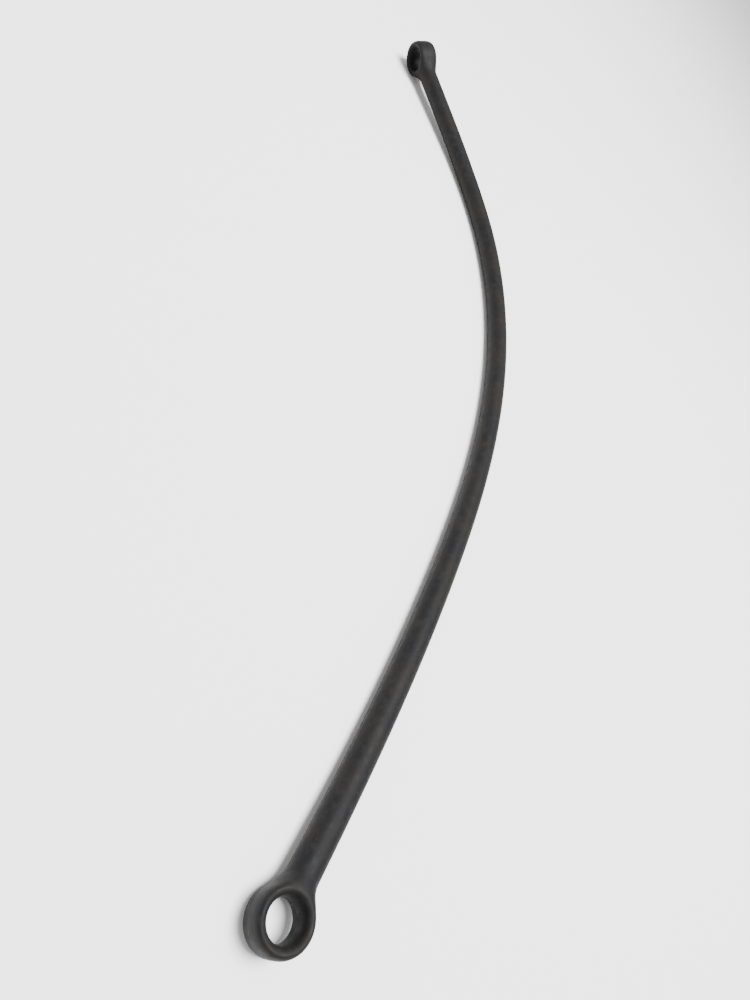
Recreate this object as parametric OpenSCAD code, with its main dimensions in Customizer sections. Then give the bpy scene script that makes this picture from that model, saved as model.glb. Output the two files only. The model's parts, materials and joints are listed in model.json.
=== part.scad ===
// Long rubber vibration dampener for a racket: a round elastic strap with a ring at each end,
// lying in its relaxed bow on a flat surface.
//
// The strap is one soft moulding on the real object. Here it is a chain of short links, so that
// it can bend and twist. Each link has a ball end in the socket end of the link before it, and
// both are centred on the hinge point, so the links turn without touching.
//
// Frame: origin at the centre of the near ring's bore, +Z up from the surface,
// +X from the near ring to the far ring.

/* [Overall] */
// Length of the dampener laid straight, over both rings
overall_length = 195; // [150:5:260]
// Diameter of the round strap
strap_d = 4; // [3:0.25:5]
// Number of links that the strap is divided into
link_count = 18; // [18:1:18]

/* [Rings] */
// Outer diameter of a ring
ring_od = 7.2; // [7:0.1:9]
// Diameter of the hole through a ring
ring_bore_d = 4.4; // [4.1:0.1:4.8]
// Thickness of a ring along its hole
ring_thickness = 4.6; // [4.4:0.1:6]
// Diameter of the crest of a ring's rims, between the hole and the outer wall
crest_d = 6; // [5.2:0.1:6.6]
// Depth along the hole over which a rim rounds off outwards
outer_rim_depth = 1.6; // [0.6:0.1:2]
// Depth along the hole over which a rim rounds off inwards
inner_rim_depth = 1.5; // [0.3:0.1:1.6]
// Distance from a ring's centre to the first hinge point on the strap
neck_length = 8; // [7.5:0.25:10]
// Radius of the hollow flare where the strap runs into a ring
flare_radius = 2.2; // [1.5:0.1:3]
// Full width of the flare along the ring's hole
flare_width = 4.4; // [4:0.1:4.6]
// Full breadth of the flare across the strap, where its thin tips are cut blunt
flare_breadth = 4.5; // [4.2:0.1:4.8]

/* [Rest shape] */
// Heading of the near end, from the line between the rings
near_heading = -26; // [-40:1:0]
// Slope at which the strap comes down from the near ring, which is thicker than the strap
near_droop = 1.7; // [0:0.1:6]
// Slope at which the strap climbs to the far ring, which stands on its edge
far_rise = 3.3; // [0:0.1:8]
// Roll of the near ring about the strap
near_roll = -7; // [-45:1:45]
// Roll of the far ring about the strap
far_roll = 72; // [-90:1:90]

/* [Joint clearance] */
// Ball radius as a multiple of the strap's radius
ball_ratio = 1.2; // [1.1:0.05:1.3]
// Gap between a ball end and its socket end
ball_gap = 0.06; // [0.03:0.01:0.15]

/* [Hidden] */
$fn = 96;
rubber = [0.15, 0.15, 0.155];

strap_r = strap_d / 2;
ball_r = strap_r * ball_ratio;
socket_r = ball_r + ball_gap;

ring_r = ring_od / 2;
bore_r = ring_bore_d / 2;
crest_r = crest_d / 2;
crest_z = ring_thickness / 2;
rim_steps = 10;

link_length = (overall_length - ring_od - 2 * neck_length) / link_count;

// The flare is an arc that touches both the strap's side and the ring's outer circle.
flare_start = sqrt(pow(ring_r + flare_radius, 2) - pow(strap_r + flare_radius, 2));
flare_sweep = asin(flare_start / (ring_r + flare_radius));
flare_end = flare_start - flare_radius * sin(flare_sweep);
flare_steps = 12;

// Left turn of the relaxed strap at each hinge point, from the near neck to the far neck.
// It is nearly straight near the rings and tightest at three quarters of its length.
rest_turn = [1, 1.5, 2, 1.5, 1.5, 1.5, 2.5, 3, 3.5, 4, 4.5, 5, 5.5, 6.5, 7, 6.5, 5, 2, -0.5];

// Upward turn at each hinge point. The droop and the rise are each shared by two hinge points.
near_level = [1, 2];
far_lift = [15, 16];
rest_lift = [
    for (k = [0:link_count])
        k == near_level[0] || k == near_level[1] ? near_droop / 2
        : k == far_lift[0] || k == far_lift[1] ? far_rise / 2
        : 0
];

// Sum of the first terms of a list.
function sum_to(list, last) = last < 0 ? 0 : list[last] + sum_to(list, last - 1);

// Heading and slope of link k, and of the far neck when k is link_count.
function heading(k) = near_heading + sum_to(rest_turn, k);
function slope(k) = -near_droop + sum_to(rest_lift, k);
function along(turn, climb) = [cos(climb) * cos(turn), cos(climb) * sin(turn), sin(climb)];
function direction(k) = along(heading(k), slope(k));

// Hinge point k: 0 is on the near neck, and link_count is on the far neck.
function hinge_point(k) =
    k == 0 ? neck_length * along(near_heading, -near_droop)
           : hinge_point(k - 1) + link_length * direction(k - 1);
far_centre = hinge_point(link_count) + neck_length * direction(link_count);

function two_digits(n) = n < 10 ? str("0", n) : str(n);
function link_name(k) = str("strap_section_", two_digits(k + 1));

// Points on an arc of an ellipse with the given half sizes, in the (radius, height) plane.
function arc_points(centre, half, from, to, steps) = [
    for (i = [0:steps])
        let (a = from + (to - from) * i / steps) centre + [half[0] * cos(a), half[1] * sin(a)]
];

// Stands a child, drawn from the origin along +X, at a point with a heading, a slope and a roll.
module stand_at(point, turn, climb, roll = 0) {
    translate(point) rotate([0, 0, turn]) rotate([0, -climb, 0]) rotate([roll, 0, 0]) children();
}

// Round bar along X.
module bar(r, from, to) {
    translate([from, 0, 0]) rotate([0, 90, 0]) cylinder(h = to - from, r = r);
}

// Outline of a ring's upper rim outside its crest, from the outer wall to the crest.
function outer_rim() =
    let (centre = [crest_r, crest_z - outer_rim_depth], half = [ring_r - crest_r, outer_rim_depth])
        arc_points(centre, half, 0, 90, rim_steps);

// Outline of a ring's upper rim inside its crest, from the crest to the bore.
function inner_rim() =
    let (centre = [crest_r, crest_z - inner_rim_depth], half = [crest_r - bore_r, inner_rim_depth])
        arc_points(centre, half, 90, 180, rim_steps);

// An outline turned over into the lower half, with its points in the opposite order.
function turned_over(outline) = [
    for (i = [len(outline) - 1:-1:0]) [outline[i][0], -outline[i][1]]
];

// Ring about Z. Its hole is a short cylinder that opens out towards both rounded rims.
module ring_body() {
    upper = concat(outer_rim(), inner_rim());
    rotate_extrude() polygon(concat(upper, turned_over(upper)));
}

// The ring with its hole filled, used to shape the saddle of a neck.
module ring_blank() {
    upper = concat(outer_rim(), [[0, crest_z]]);
    rotate_extrude() polygon(concat(upper, turned_over(upper)));
}

// Neck from the ring's outer face along +X: a hollow flare that runs into the round strap.
module neck_body(bar_end) {
    centre = [strap_r + flare_radius, flare_start];
    flare = arc_points(centre, [flare_radius, flare_radius], 180, 180 + flare_sweep, flare_steps);
    difference() {
        union() {
            bar(strap_r, flare_start, bar_end);
            intersection() {
                rotate([0, 90, 0])
                    rotate_extrude() polygon(concat([[0, flare_end], [0, flare_start]], flare));
                cube([2 * neck_length, flare_breadth, flare_width], center = true);
            }
        }
        ring_blank();
    }
}

// Keeps what is inside the ball or on the +X side of the origin.
module ball_end(reach) {
    intersection() {
        children();
        union() {
            sphere(r = ball_r);
            bar(2 * strap_r, 0, reach);
        }
    }
}

// Cuts the socket for the next link's ball at a distance along +X.
module socket_end(distance) {
    difference() {
        children();
        translate([distance, 0, 0]) sphere(r = socket_r);
    }
}

module near_ring() {
    color(rubber) stand_at([0, 0, 0], near_heading, -near_droop, near_roll) ring_body();
}

module near_neck() {
    color(rubber)
        stand_at([0, 0, 0], near_heading, -near_droop, near_roll)
            socket_end(neck_length) neck_body(neck_length);
}

module strap_section(k) {
    color(rubber)
        stand_at(hinge_point(k), heading(k), slope(k))
            socket_end(link_length)
                ball_end(2 * link_length)
                    bar(strap_r, -2 * strap_r, link_length);
}

// The far neck and far ring look back along the strap, so they turn half round and roll the other way.
module at_far_ring() {
    stand_at(far_centre, heading(link_count) + 180, -slope(link_count), -far_roll) children();
}

module far_neck() {
    color(rubber)
        at_far_ring()
            intersection() {
                neck_body(neck_length + 2 * strap_r);
                union() {
                    translate([neck_length, 0, 0]) sphere(r = ball_r);
                    bar(2 * ring_r, 0, neck_length);
                }
            }
}

module far_ring() {
    color(rubber) at_far_ring() ring_body();
}

near_ring();
near_neck();
for (k = [0:link_count - 1])
    strap_section(k);
far_neck();
far_ring();
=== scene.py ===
"""A long rubber vibration dampener: a round strap with a moulded ring at each end.

It lies in its relaxed bow on a pale floor. The strap is one soft moulding on the real object. Here it
is a row of closed pieces, cut at the middle of each rigid section, which meet edge to edge at rest.
"""

import json
import math

import bpy
import numpy as np
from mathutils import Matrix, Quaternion, Vector


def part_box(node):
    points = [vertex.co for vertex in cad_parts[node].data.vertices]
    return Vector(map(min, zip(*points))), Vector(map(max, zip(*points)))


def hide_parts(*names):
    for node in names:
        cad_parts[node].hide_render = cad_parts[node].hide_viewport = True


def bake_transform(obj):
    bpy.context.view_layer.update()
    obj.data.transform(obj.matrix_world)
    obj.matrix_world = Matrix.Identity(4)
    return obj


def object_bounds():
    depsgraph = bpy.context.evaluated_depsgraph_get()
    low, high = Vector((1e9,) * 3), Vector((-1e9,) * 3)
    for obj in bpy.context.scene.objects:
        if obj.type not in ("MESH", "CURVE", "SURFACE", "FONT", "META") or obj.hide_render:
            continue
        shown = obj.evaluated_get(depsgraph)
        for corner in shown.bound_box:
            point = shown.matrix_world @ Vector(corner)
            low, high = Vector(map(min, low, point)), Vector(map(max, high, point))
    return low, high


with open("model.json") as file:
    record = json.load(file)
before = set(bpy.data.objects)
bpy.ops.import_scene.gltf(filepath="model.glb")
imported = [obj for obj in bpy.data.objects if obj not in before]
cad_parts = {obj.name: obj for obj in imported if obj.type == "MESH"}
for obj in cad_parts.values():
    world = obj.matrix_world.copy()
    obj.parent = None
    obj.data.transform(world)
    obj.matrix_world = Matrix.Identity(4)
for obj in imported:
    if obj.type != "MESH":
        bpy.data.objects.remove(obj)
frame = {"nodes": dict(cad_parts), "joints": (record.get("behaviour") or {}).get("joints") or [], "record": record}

CAD_LOW, CAD_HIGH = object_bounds()

# ---------------------------------------------------------------- sizes and places, from the frame

MM = 0.001
RECORD = frame["record"]
MOUNTS = {mount["name"]: mount for mount in RECORD["mounts"]}
JOINTS = frame["joints"]
HINGES = [np.array(joint["pos_m"]) for joint in JOINTS]
SECTIONS = sorted(name for name in frame["nodes"] if name.startswith("strap_section_"))

UP = np.array([0.0, 0.0, 1.0])


def unit(v):
    return v / np.linalg.norm(v)


def node_points(node):
    """The vertices of a CAD node at rest."""
    mesh = frame["nodes"][node].data
    points = np.zeros(len(mesh.vertices) * 3, np.float32)
    mesh.vertices.foreach_get("co", points)
    return points.reshape(-1, 3).astype(float)


NEAR_CENTRE = np.array(MOUNTS["near_ring_bore"]["pos_m"])
FAR_CENTRE = np.array(MOUNTS["far_ring_bore"]["pos_m"])
NEAR_AXIS = unit(np.array(MOUNTS["near_ring_bore"]["axis"]))
FAR_AXIS = unit(np.array(MOUNTS["far_ring_bore"]["axis"]))

flat_low, flat_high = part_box("strap_section_08")
STRAP_R = (flat_high.z - flat_low.z) / 2
BORE_R = MOUNTS["near_ring_bore"]["dims"]["r_mm"] * MM
ring_points = node_points("near_ring") - NEAR_CENTRE
ring_heights = ring_points @ NEAR_AXIS
RING_HALF_THICKNESS = float(np.abs(ring_heights).max())
ring_radii = np.linalg.norm(ring_points - np.outer(ring_heights, NEAR_AXIS), axis=1)
RING_R = float(ring_radii.max())
HAIR = 0.005 * MM  # how near a limit a vertex must be to count as lying on it
CREST_R = float(ring_radii[ring_heights > RING_HALF_THICKNESS - HAIR].mean())
OUTER_WALL_Z = float(ring_heights[ring_radii > RING_R - HAIR].max())
BORE_WALL_Z = float(ring_heights[ring_radii < BORE_R + HAIR].max())
# Half sizes of the elliptical roundings outside and inside a rim's crest
OUTER_RIM = np.array([RING_R - CREST_R, RING_HALF_THICKNESS - OUTER_WALL_Z])
INNER_RIM = np.array([CREST_R - BORE_R, RING_HALF_THICKNESS - BORE_WALL_Z])

NECK_LENGTH = float(np.linalg.norm(HINGES[0] - NEAR_CENTRE))
LINK_LENGTH = float(np.linalg.norm(HINGES[1] - HINGES[0]))
HALF_LINK = LINK_LENGTH / 2

# ---------------------------------------------------------------- finer sizes of the moulding

NECK_FILLET = 1.7 * MM  # how softly the strap runs into a ring
CREST_BLEND = 0.5 * MM  # softening where the neck meets the rim's inner slope

COLUMNS = 48  # quads round the strap
STATION_GAP = 0.33 * MM  # length of a quad along the strap
RING_SEGMENTS = 54  # quads round a ring
WALL_QUADS = 4  # quads up the ring's outer wall
RIM_QUADS = 8  # quads over the outside of a rim, half of them under the strap
SLOPE_QUADS = 7  # quads down the inside of a rim
BORE_QUADS = 4  # quads along the bore
PATCH = COLUMNS // 4  # the strap grows out of a patch of PATCH by PATCH quads on the ring
NECK_SPREAD = 1.5  # length of the stretch of quads over a neck's fillet, in fillets

GRADIENT_STEP = 1e-3 * MM
LEAST_SLOPE_SQUARED = 0.1  # keeps a step towards the skin short where the skin creases
NEVER_ZERO = 1e-6

RELAX_ROUNDS = 80
RELAX_SHARE = 0.6  # how far a free point moves towards its neighbours' average in a round
FREE_WITHIN = 2.5 * STRAP_R  # of the neck
HELD_BEYOND = 3.75 * STRAP_R
CREST_MARGIN = 0.1 * MM  # points this close to the crest, or inside it, are held too

# ---------------------------------------------------------------- the line of the strap


def roll_of(axis, along):
    """Angle from the upward direction to a ring's axis, about the strap's direction."""
    side = unit(np.cross(UP, along))
    top = np.cross(along, side)
    return math.atan2(-axis @ side, axis @ top)


def cross_frame(along, roll):
    """(side, top): the two directions across the strap, with top turned by roll from upward."""
    side = unit(np.cross(UP, along))
    top = np.cross(along, side)
    c, s = math.cos(roll), math.sin(roll)
    return side * c + top * s, top * c - side * s


NEAR_ALONG = unit(HINGES[0] - NEAR_CENTRE)
FAR_ALONG = unit(FAR_CENTRE - HINGES[-1])
NEAR_ROLL = roll_of(NEAR_AXIS, NEAR_ALONG)
FAR_ROLL = roll_of(FAR_AXIS, FAR_ALONG)


def curve_past(start, corner, end, t):
    """Point and direction at t on the parabola from start to end whose arms meet at corner."""
    point = start * (1 - t) ** 2 + corner * 2 * t * (1 - t) + end * t**2
    return point, unit((corner - start) * (1 - t) + (end - corner) * t)


def section_middle(k):
    """Middle of strap section k, counted from 0."""
    return (HINGES[k] + HINGES[k + 1]) / 2


def roll_at(section, t):
    """Roll of the moulding at t from the middle of a section to the middle of the next."""
    return NEAR_ROLL + (FAR_ROLL - NEAR_ROLL) * (section + t) / (len(SECTIONS) - 1)


# ---------------------------------------------------------------- meshes


def make_piece(name, points, faces, parting, sharp_edges):
    """A closed, smooth-shaded mesh, with sharp edges where it meets its neighbour.

    parting is each vertex's distance from the mould's parting surface, in mm.
    """
    mesh = bpy.data.meshes.new(name)
    mesh.from_pydata([tuple(p) for p in points], [], faces)
    mesh.validate()
    mesh.polygons.foreach_set("use_smooth", [True] * len(mesh.polygons))
    sharp = mesh.attributes.new("sharp_edge", "BOOLEAN", "EDGE")
    flags = [tuple(sorted(edge.vertices)) in sharp_edges for edge in mesh.edges]
    sharp.data.foreach_set("value", flags)
    place = mesh.attributes.new("rest_place", "FLOAT_VECTOR", "POINT")
    place.data.foreach_set("vector", np.array(points, np.float32).ravel())
    line = mesh.attributes.new("parting_mm", "FLOAT", "POINT")
    line.data.foreach_set("value", np.array(parting, np.float32))
    piece = bpy.data.objects.new(name, mesh)
    bpy.context.scene.collection.objects.link(piece)
    return piece


def column_angles():
    """Angles of the strap's vertex columns, measured from its top towards its side."""
    return np.arange(COLUMNS) * 2 * math.pi / COLUMNS


def loop_edges(loop):
    """The edges of a closed loop of vertices, each with its lower vertex first."""
    return {tuple(sorted((a, b))) for a, b in zip(loop, loop[1:] + loop[:1])}


def tube_faces(first_loop, second_loop):
    """Quads between two loops of columns, facing outwards."""
    count = len(first_loop)
    return [
        (first_loop[c], second_loop[c], second_loop[(c + 1) % count], first_loop[(c + 1) % count])
        for c in range(count)
    ]


def cap_faces(loop, centre):
    """A fan of triangles that closes a loop at a centre vertex, facing back along the strap."""
    count = len(loop)
    return [(loop[c], loop[(c + 1) % count], centre) for c in range(count)]


def strap_piece(section):
    """The strap from the middle of one section to the middle of the next."""
    start, corner, end = section_middle(section), HINGES[section + 1], section_middle(section + 1)
    stations = round(LINK_LENGTH / STATION_GAP) + 1
    angles = column_angles()
    points, parting, loops = [], [], []
    for t in np.linspace(0, 1, stations):
        centre, along = curve_past(start, corner, end, t)
        side, top = cross_frame(along, roll_at(section, t))
        loops.append(list(range(len(points), len(points) + COLUMNS)))
        points.extend(centre + STRAP_R * (math.cos(a) * top + math.sin(a) * side) for a in angles)
        parting.extend(abs(STRAP_R * math.cos(a)) / MM for a in angles)
    faces = []
    for first, second in zip(loops, loops[1:]):
        faces.extend(tube_faces(first, second))
    for centre, loop in ((start, loops[0]), (end, loops[-1][::-1])):
        points.append(centre)
        parting.append(0.0)
        faces.extend(cap_faces(loop, len(points) - 1))
    sharp = loop_edges(loops[0]) | loop_edges(loops[-1])
    return make_piece(f"strap_{section + 1:02d}", points, faces, parting, sharp)


# ---------------------------------------------------------------- the moulded ends, in a ring's own frame


def smooth_min(a, b, k):
    """The lesser of two distances, rounded off where they differ by less than k."""
    h = np.clip(0.5 + 0.5 * (b - a) / k, 0, 1)
    return b * (1 - h) + a * h - k * h * (1 - h)


def rounding_distance(across, along, half):
    """Distance from an elliptical rounding with half sizes half. across and along are past its centre."""
    x = np.maximum(across, 0) / half[0]
    z = np.maximum(along, 0) / half[1]
    size = np.maximum(np.hypot(x, z), NEVER_ZERO)
    steepness = np.maximum(np.hypot(x / half[0], z / half[1]), NEVER_ZERO)
    flat = np.maximum(across - half[0], along - half[1])
    return np.where((across > 0) & (along > 0), (size - 1) * size / steepness, flat)


def end_distance(p):
    """Signed distance from the skin of a moulded end: the ring is about Z, the strap is along +X."""
    radius = np.hypot(p[:, 0], p[:, 1])
    height = np.abs(p[:, 2])
    disc = rounding_distance(radius - CREST_R, height - OUTER_WALL_Z, OUTER_RIM)
    before_root = np.minimum(p[:, 0] - CREST_R, 0)
    strap = np.sqrt(before_root**2 + p[:, 1] ** 2 + p[:, 2] ** 2) - STRAP_R
    body = smooth_min(disc, strap, NECK_FILLET)
    hole = rounding_distance(CREST_R - radius, height - BORE_WALL_Z, INNER_RIM)
    return -smooth_min(-body, -hole, CREST_BLEND)


def settle_on_skin(points, steps=3):
    """Moves points along the gradient until they lie on the skin."""
    for _ in range(steps):
        value = end_distance(points)
        ahead = [end_distance(points + GRADIENT_STEP * axis) for axis in np.eye(3)]
        slope = np.stack([(there - value) / GRADIENT_STEP for there in ahead], axis=1)
        size = np.maximum((slope**2).sum(1), LEAST_SLOPE_SQUARED)
        points = points - slope * (value / size)[:, None]
    return points


def arc(centre_z, half, start, quads):
    """(radius, height) points on a quarter turn that begins at the angle start, without the last."""
    angles = start + np.arange(quads) * math.pi / 2 / quads
    return [(CREST_R + half[0] * math.cos(a), centre_z + half[1] * math.sin(a)) for a in angles]


def band_profile():
    """(radius, height) points once round the ring's wall, from the middle of the lower rim's outside."""
    quarter = math.pi / 2
    low_rim = arc(-OUTER_WALL_Z, OUTER_RIM, -quarter, RIM_QUADS)
    outer = [(RING_R, z) for z in np.linspace(-OUTER_WALL_Z, OUTER_WALL_Z, WALL_QUADS + 1)[:-1]]
    top_rim = arc(OUTER_WALL_Z, OUTER_RIM, 0, RIM_QUADS)
    top_slope = arc(BORE_WALL_Z, INNER_RIM, quarter, SLOPE_QUADS)
    bore = [(BORE_R, z) for z in np.linspace(BORE_WALL_Z, -BORE_WALL_Z, BORE_QUADS + 1)[:-1]]
    low_slope = arc(-BORE_WALL_Z, INNER_RIM, 2 * quarter, SLOPE_QUADS)
    half = RIM_QUADS // 2
    return low_rim[half:] + outer + top_rim + top_slope + bore + low_slope + low_rim[:half]


def patch_rim(half):
    """(segment, profile) steps round the strap's patch on the ring, from the middle of its top."""
    up = [(i, PATCH) for i in range(0, half)]
    right = [(half, j) for j in range(PATCH, 0, -1)]
    down = [(i, 0) for i in range(half, -half, -1)]
    left = [(-half, j) for j in range(0, PATCH)]
    return up + right + down + left + [(i, PATCH) for i in range(-half, 0)]


def end_mesh():
    """(points, faces, end loop) of a moulded end with a straight strap, in the ring's frame."""
    profile = band_profile()
    around = len(profile)
    half = PATCH // 2

    def index(i, j):
        return (i % RING_SEGMENTS) * around + j % around

    def in_patch(i, j):
        return (i + half) % RING_SEGMENTS < PATCH and j < PATCH

    points = [
        (r * math.cos(a), r * math.sin(a), z)
        for a in np.arange(RING_SEGMENTS) * 2 * math.pi / RING_SEGMENTS
        for r, z in profile
    ]
    faces = [
        (index(i, j), index(i + 1, j), index(i + 1, j + 1), index(i, j + 1))
        for i in range(RING_SEGMENTS)
        for j in range(around)
        if not in_patch(i, j)
    ]
    buried = {index(i, j) for i in range(-half + 1, half) for j in range(1, PATCH)}
    loop = [index(i, j) for i, j in patch_rim(half)]
    patch_edge = np.array([points[v] for v in loop])
    angles = column_angles()
    section = np.stack([np.zeros(COLUMNS), STRAP_R * np.sin(angles), STRAP_R * np.cos(angles)], 1)
    reach = NECK_LENGTH + HALF_LINK
    straight_from = RING_R + NECK_FILLET
    flare_quads = round(NECK_SPREAD * NECK_FILLET / STATION_GAP)
    straight_quads = round((reach - straight_from) / STATION_GAP)
    shares = list(np.arange(1, flare_quads + 1) / flare_quads) + [1.0] * straight_quads
    straight_places = np.linspace(straight_from, reach, straight_quads + 1)[1:]
    places = [straight_from] * flare_quads + list(straight_places)
    for share, x in zip(shares, places):
        new_loop = list(range(len(points), len(points) + COLUMNS))
        points.extend(map(tuple, patch_edge * (1 - share) + (section + (x, 0, 0)) * share))
        faces.extend(tube_faces(loop, new_loop))
        loop = new_loop
    keep = [v for v in range(len(points)) if v not in buried]
    renumber = {v: n for n, v in enumerate(keep)}
    points = np.array([points[v] for v in keep])
    faces = [tuple(renumber[v] for v in face) for face in faces]
    loop = [renumber[v] for v in loop]
    return relax(points, faces, straight_from), faces, loop


def relax(points, faces, straight_from):
    """Evens out the quads round the neck while they stay on the skin."""
    edges = {tuple(sorted((f[i], f[(i + 1) % 4]))) for f in faces for i in range(4)}
    a, b = np.array(sorted(edges)).T
    degree = np.bincount(np.concatenate([a, b]), minlength=len(points))[:, None]
    from_neck = np.linalg.norm(points - np.array([RING_R, 0, 0]), axis=1)
    freedom = np.clip((HELD_BEYOND - from_neck) / (HELD_BEYOND - FREE_WITHIN), 0, 1)
    freedom = freedom[:, None] * RELAX_SHARE
    freedom[np.hypot(points[:, 0], points[:, 1]) < CREST_R + CREST_MARGIN] = 0
    freedom[points[:, 0] > straight_from + STRAP_R] = 0
    points = settle_on_skin(points)
    for _ in range(RELAX_ROUNDS):
        total = np.zeros_like(points)
        np.add.at(total, a, points[b])
        np.add.at(total, b, points[a])
        points = settle_on_skin(points + freedom * (total / degree - points), 1)
    return settle_on_skin(points)


END_POINTS, END_FACES, END_LOOP = end_mesh()


def moulded_end(name, centre, axis, forward, roll, hinge, middle):
    """A ring, its neck and the strap up to the middle of the section next to them.

    forward is 1 at the near end and -1 at the far end, where the strap leaves against the chain.
    """
    local = END_POINTS
    inward = unit(hinge - centre)
    across = np.cross(axis, inward)
    straight = NECK_LENGTH - HALF_LINK
    arm_end = centre + inward * straight
    points = centre + local[:, :1] * inward + local[:, 1:2] * across + local[:, 2:] * axis
    for v in np.nonzero(local[:, 0] > straight)[0]:
        t = (local[v, 0] - straight) / LINK_LENGTH
        spine, along = curve_past(arm_end, hinge, middle, t)
        side, top = cross_frame(along * forward, roll)
        points[v] = spine + local[v, 1] * side * forward + local[v, 2] * top
    parting = list(np.abs(local[:, 2]) / MM)
    points = list(points) + [middle]
    parting.append(0.0)
    faces = END_FACES + cap_faces(END_LOOP[::-1], len(points) - 1)
    return make_piece(name, points, faces, parting, loop_edges(END_LOOP))


last_middle = section_middle(len(SECTIONS) - 1)
near_piece = moulded_end(
    "near_ring_and_neck", NEAR_CENTRE, NEAR_AXIS, 1, NEAR_ROLL, HINGES[0], section_middle(0)
)
far_piece = moulded_end(
    "far_ring_and_neck", FAR_CENTRE, FAR_AXIS, -1, FAR_ROLL, HINGES[-1], last_middle
)
strap_pieces = [strap_piece(k) for k in range(len(SECTIONS) - 1)]

# ---------------------------------------------------------------- materials

WARM_BLACK = (0.0096, 0.0087, 0.0077, 1)
COOL_BLACK = (0.0065, 0.0066, 0.0075, 1)
BLOOM_GREY = (0.0160, 0.0152, 0.0145, 1)
DUST_GREY = (0.045, 0.043, 0.040, 1)
BLOOM_SHARE = 0.5
DUST_SHARE = 0.35

SMOOTHEST, ROUGHEST = 0.52, 0.64
GRAIN_ROUGHNESS = 0.08
PARTING_SHINE = 0.1  # how much smoother the parting line is
PARTING_CORE_MM, PARTING_EDGE_MM = 0.03, 0.16

WAVINESS_DEPTH = 0.05 * MM
GRAIN_DEPTH = 0.014 * MM
PARTING_HEIGHT = 0.012 * MM


class Nodes:
    """Adds nodes to a new material and links them."""

    def __init__(self, name):
        self.material = bpy.data.materials.new(name)
        self.material.use_nodes = True
        self.tree = self.material.node_tree
        self.shader = self.tree.nodes["Principled BSDF"]

    def put(self, value, socket):
        """Links a socket, or sets a plain value."""
        if isinstance(value, bpy.types.NodeSocket):
            self.tree.links.new(value, socket)
        else:
            socket.default_value = value

    def attribute(self, name, output):
        node = self.tree.nodes.new("ShaderNodeAttribute")
        node.attribute_name = name
        return node.outputs[output]

    def scaled(self, vector, factors):
        node = self.tree.nodes.new("ShaderNodeVectorMath")
        node.operation = "MULTIPLY"
        self.put(vector, node.inputs[0])
        node.inputs[1].default_value = factors
        return node.outputs[0]

    def noise(self, vector, per_mm, detail, roughness=0.5):
        """Noise from 0 to 1, with about per_mm cells to a millimetre."""
        node = self.tree.nodes.new("ShaderNodeTexNoise")
        self.put(vector, node.inputs["Vector"])
        node.inputs["Scale"].default_value = per_mm
        node.inputs["Detail"].default_value = detail
        node.inputs["Roughness"].default_value = roughness
        return node.outputs["Fac"]

    def ramp(self, value, from_low, from_high, to_low=0.0, to_high=1.0):
        """Maps a value smoothly from one range to another, held at both ends."""
        node = self.tree.nodes.new("ShaderNodeMapRange")
        node.interpolation_type = "SMOOTHSTEP"
        levels = (value, from_low, from_high, to_low, to_high)
        for level, socket in zip(levels, node.inputs[:5]):
            self.put(level, socket)
        return node.outputs[0]

    def maths(self, operation, a, b):
        node = self.tree.nodes.new("ShaderNodeMath")
        node.operation = operation
        self.put(a, node.inputs[0])
        self.put(b, node.inputs[1])
        return node.outputs[0]

    def mixed(self, factor, a, b):
        node = self.tree.nodes.new("ShaderNodeMix")
        node.data_type = "RGBA"
        self.put(factor, node.inputs["Factor"])
        self.put(a, node.inputs["A"])
        self.put(b, node.inputs["B"])
        return node.outputs["Result"]

    def bump(self, height, distance, normal=None):
        node = self.tree.nodes.new("ShaderNodeBump")
        self.put(height, node.inputs["Height"])
        node.inputs["Strength"].default_value = 1.0
        node.inputs["Distance"].default_value = distance
        if normal is not None:
            self.put(normal, node.inputs["Normal"])
        return node.outputs["Normal"]


def rubber_material():
    """Matte black moulded rubber: cloudy, finely grained, a little dusty, with a faint parting line."""
    nodes = Nodes("rubber")
    place = nodes.scaled(nodes.attribute("rest_place", "Vector"), (1 / MM, 1 / MM, 1 / MM))

    clouds = nodes.noise(place, per_mm=0.22, detail=3)
    patches = nodes.noise(place, per_mm=0.9, detail=4)
    grain = nodes.noise(place, per_mm=7.0, detail=3, roughness=0.6)
    specks = nodes.noise(place, per_mm=3.2, detail=2, roughness=0.7)
    coolness = nodes.ramp(clouds, 0.35, 0.65)
    bloom = nodes.ramp(patches, 0.46, 0.72)
    dust = nodes.ramp(specks, 0.66, 0.74)
    line_distance = nodes.attribute("parting_mm", "Fac")
    parting = nodes.ramp(line_distance, PARTING_CORE_MM, PARTING_EDGE_MM, 1.0, 0.0)

    colour = nodes.mixed(coolness, WARM_BLACK, COOL_BLACK)
    colour = nodes.mixed(nodes.maths("MULTIPLY", bloom, BLOOM_SHARE), colour, BLOOM_GREY)
    colour = nodes.mixed(nodes.maths("MULTIPLY", dust, DUST_SHARE), colour, DUST_GREY)
    nodes.put(colour, nodes.shader.inputs["Base Color"])

    rough = nodes.ramp(patches, 0.35, 0.7, SMOOTHEST, ROUGHEST)
    rough = nodes.maths("ADD", rough, nodes.maths("MULTIPLY", grain, GRAIN_ROUGHNESS))
    rough = nodes.maths("SUBTRACT", rough, nodes.maths("MULTIPLY", parting, PARTING_SHINE))
    nodes.put(rough, nodes.shader.inputs["Roughness"])

    normal = nodes.bump(nodes.noise(place, per_mm=0.8, detail=1), WAVINESS_DEPTH)
    normal = nodes.bump(grain, GRAIN_DEPTH, normal)
    normal = nodes.bump(parting, PARTING_HEIGHT, normal)
    nodes.put(normal, nodes.shader.inputs["Normal"])

    nodes.shader.inputs["Specular IOR Level"].default_value = 0.11
    nodes.shader.inputs["Sheen Weight"].default_value = 0.01
    nodes.shader.inputs["Sheen Roughness"].default_value = 0.5
    return nodes.material


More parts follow.
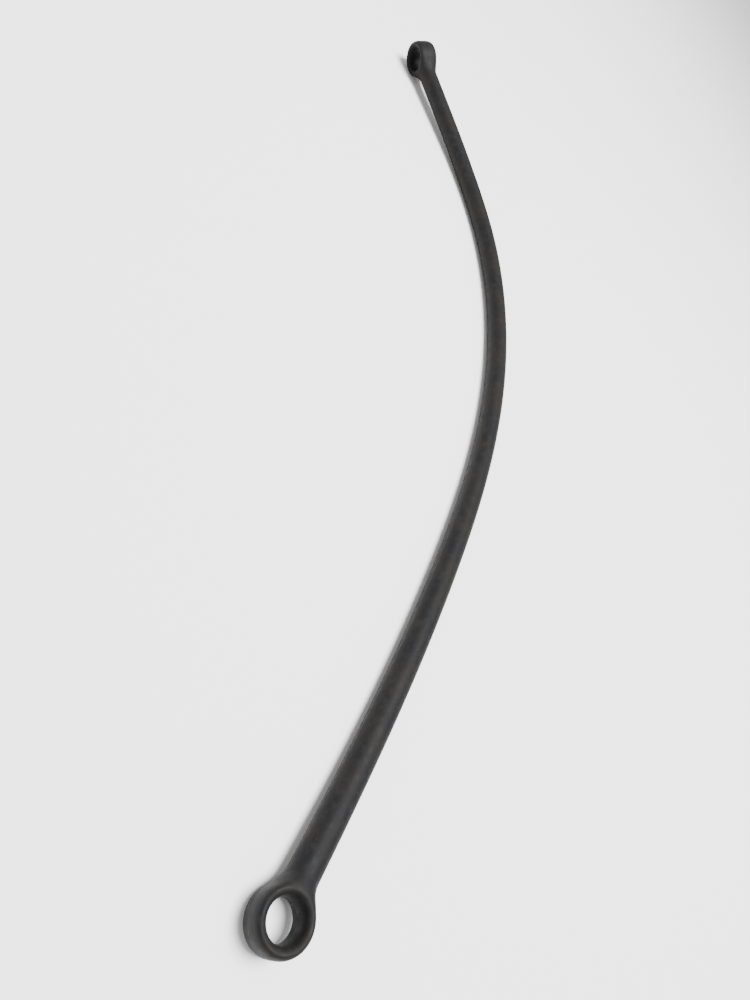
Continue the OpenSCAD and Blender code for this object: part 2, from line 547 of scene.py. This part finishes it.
def floor_material():
    """Plain matte white."""
    nodes = Nodes("pale_floor")
    nodes.shader.inputs["Base Color"].default_value = (0.9, 0.9, 0.9, 1)
    nodes.shader.inputs["Roughness"].default_value = 0.9
    return nodes.material


RUBBER = rubber_material()

# ---------------------------------------------------------------- rubber on the pieces, and the CAD parts they stand for hidden

for number, piece in enumerate([near_piece] + strap_pieces + [far_piece]):
    piece.data.materials.append(RUBBER)
    if piece is near_piece:
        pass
    elif piece is far_piece:
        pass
    else:
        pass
    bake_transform(piece)
    if piece is far_piece:
        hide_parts(SECTIONS[-1], "far_neck", "far_ring")
    elif piece is near_piece:
        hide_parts("near_ring", "near_neck")
    else:
        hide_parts(SECTIONS[number - 1])

# ---------------------------------------------------------------- camera, floor and light

CAMERA_PLACE = Vector((5.0, 43.2, 70.8)) * MM
CAMERA_AIM = Vector((54.3, -4.6, 0)) * MM
CAMERA_ROLL = math.radians(61.5)
CAMERA_LENS = 23.4  # in mm, on a sensor of CAMERA_SENSOR mm
CAMERA_SENSOR = 36
CAMERA_CLIP = 0.001

FLOOR_HALF = 2.0
SOFTBOX_PLACE = Vector((0.0, -0.06, 0.6))  # from the middle of the object
SOFTBOX_SIZE = 0.3
SOFTBOX_POWER = 13.0
STUDIO_STRENGTH = 0.8

camera_data = bpy.data.cameras.new("camera")
camera_data.lens = CAMERA_LENS
camera_data.sensor_width = CAMERA_SENSOR
camera_data.clip_start = CAMERA_CLIP
camera = bpy.data.objects.new("camera", camera_data)
bpy.context.scene.collection.objects.link(camera)
camera.location = CAMERA_PLACE
level = (CAMERA_AIM - CAMERA_PLACE).to_track_quat("-Z", "Y")
camera.rotation_mode = "QUATERNION"
camera.rotation_quaternion = level @ Quaternion((0, 0, 1), CAMERA_ROLL)
bpy.context.scene.camera = camera


def floor():
    """A flat square under the object's lowest point."""
    half = FLOOR_HALF
    z = CAD_LOW.z
    mesh = bpy.data.meshes.new("floor")
    corners = [(-half, -half, z), (half, -half, z), (half, half, z), (-half, half, z)]
    mesh.from_pydata(corners, [], [(0, 1, 2, 3)])
    made = bpy.data.objects.new("floor", mesh)
    bpy.context.scene.collection.objects.link(made)
    made.data.materials.append(floor_material())


def softbox(name, place, aim, size, power):
    """A round soft light that faces aim."""
    light = bpy.data.lights.new(name, "AREA")
    light.shape = "DISK"
    light.size = size
    light.energy = power
    made = bpy.data.objects.new(name, light)
    bpy.context.scene.collection.objects.link(made)
    made.location = place
    made.rotation_mode = "QUATERNION"
    made.rotation_quaternion = (Vector(aim) - Vector(place)).to_track_quat("-Z", "Y")


floor()
middle = (CAD_LOW + CAD_HIGH) / 2
softbox("overhead", middle + SOFTBOX_PLACE, middle, SOFTBOX_SIZE, SOFTBOX_POWER)

world = bpy.data.worlds.new("studio")
world.use_nodes = True
world.node_tree.nodes["Background"].inputs["Color"].default_value = (1, 1, 1, 1)
world.node_tree.nodes["Background"].inputs["Strength"].default_value = STUDIO_STRENGTH
bpy.context.scene.world = world
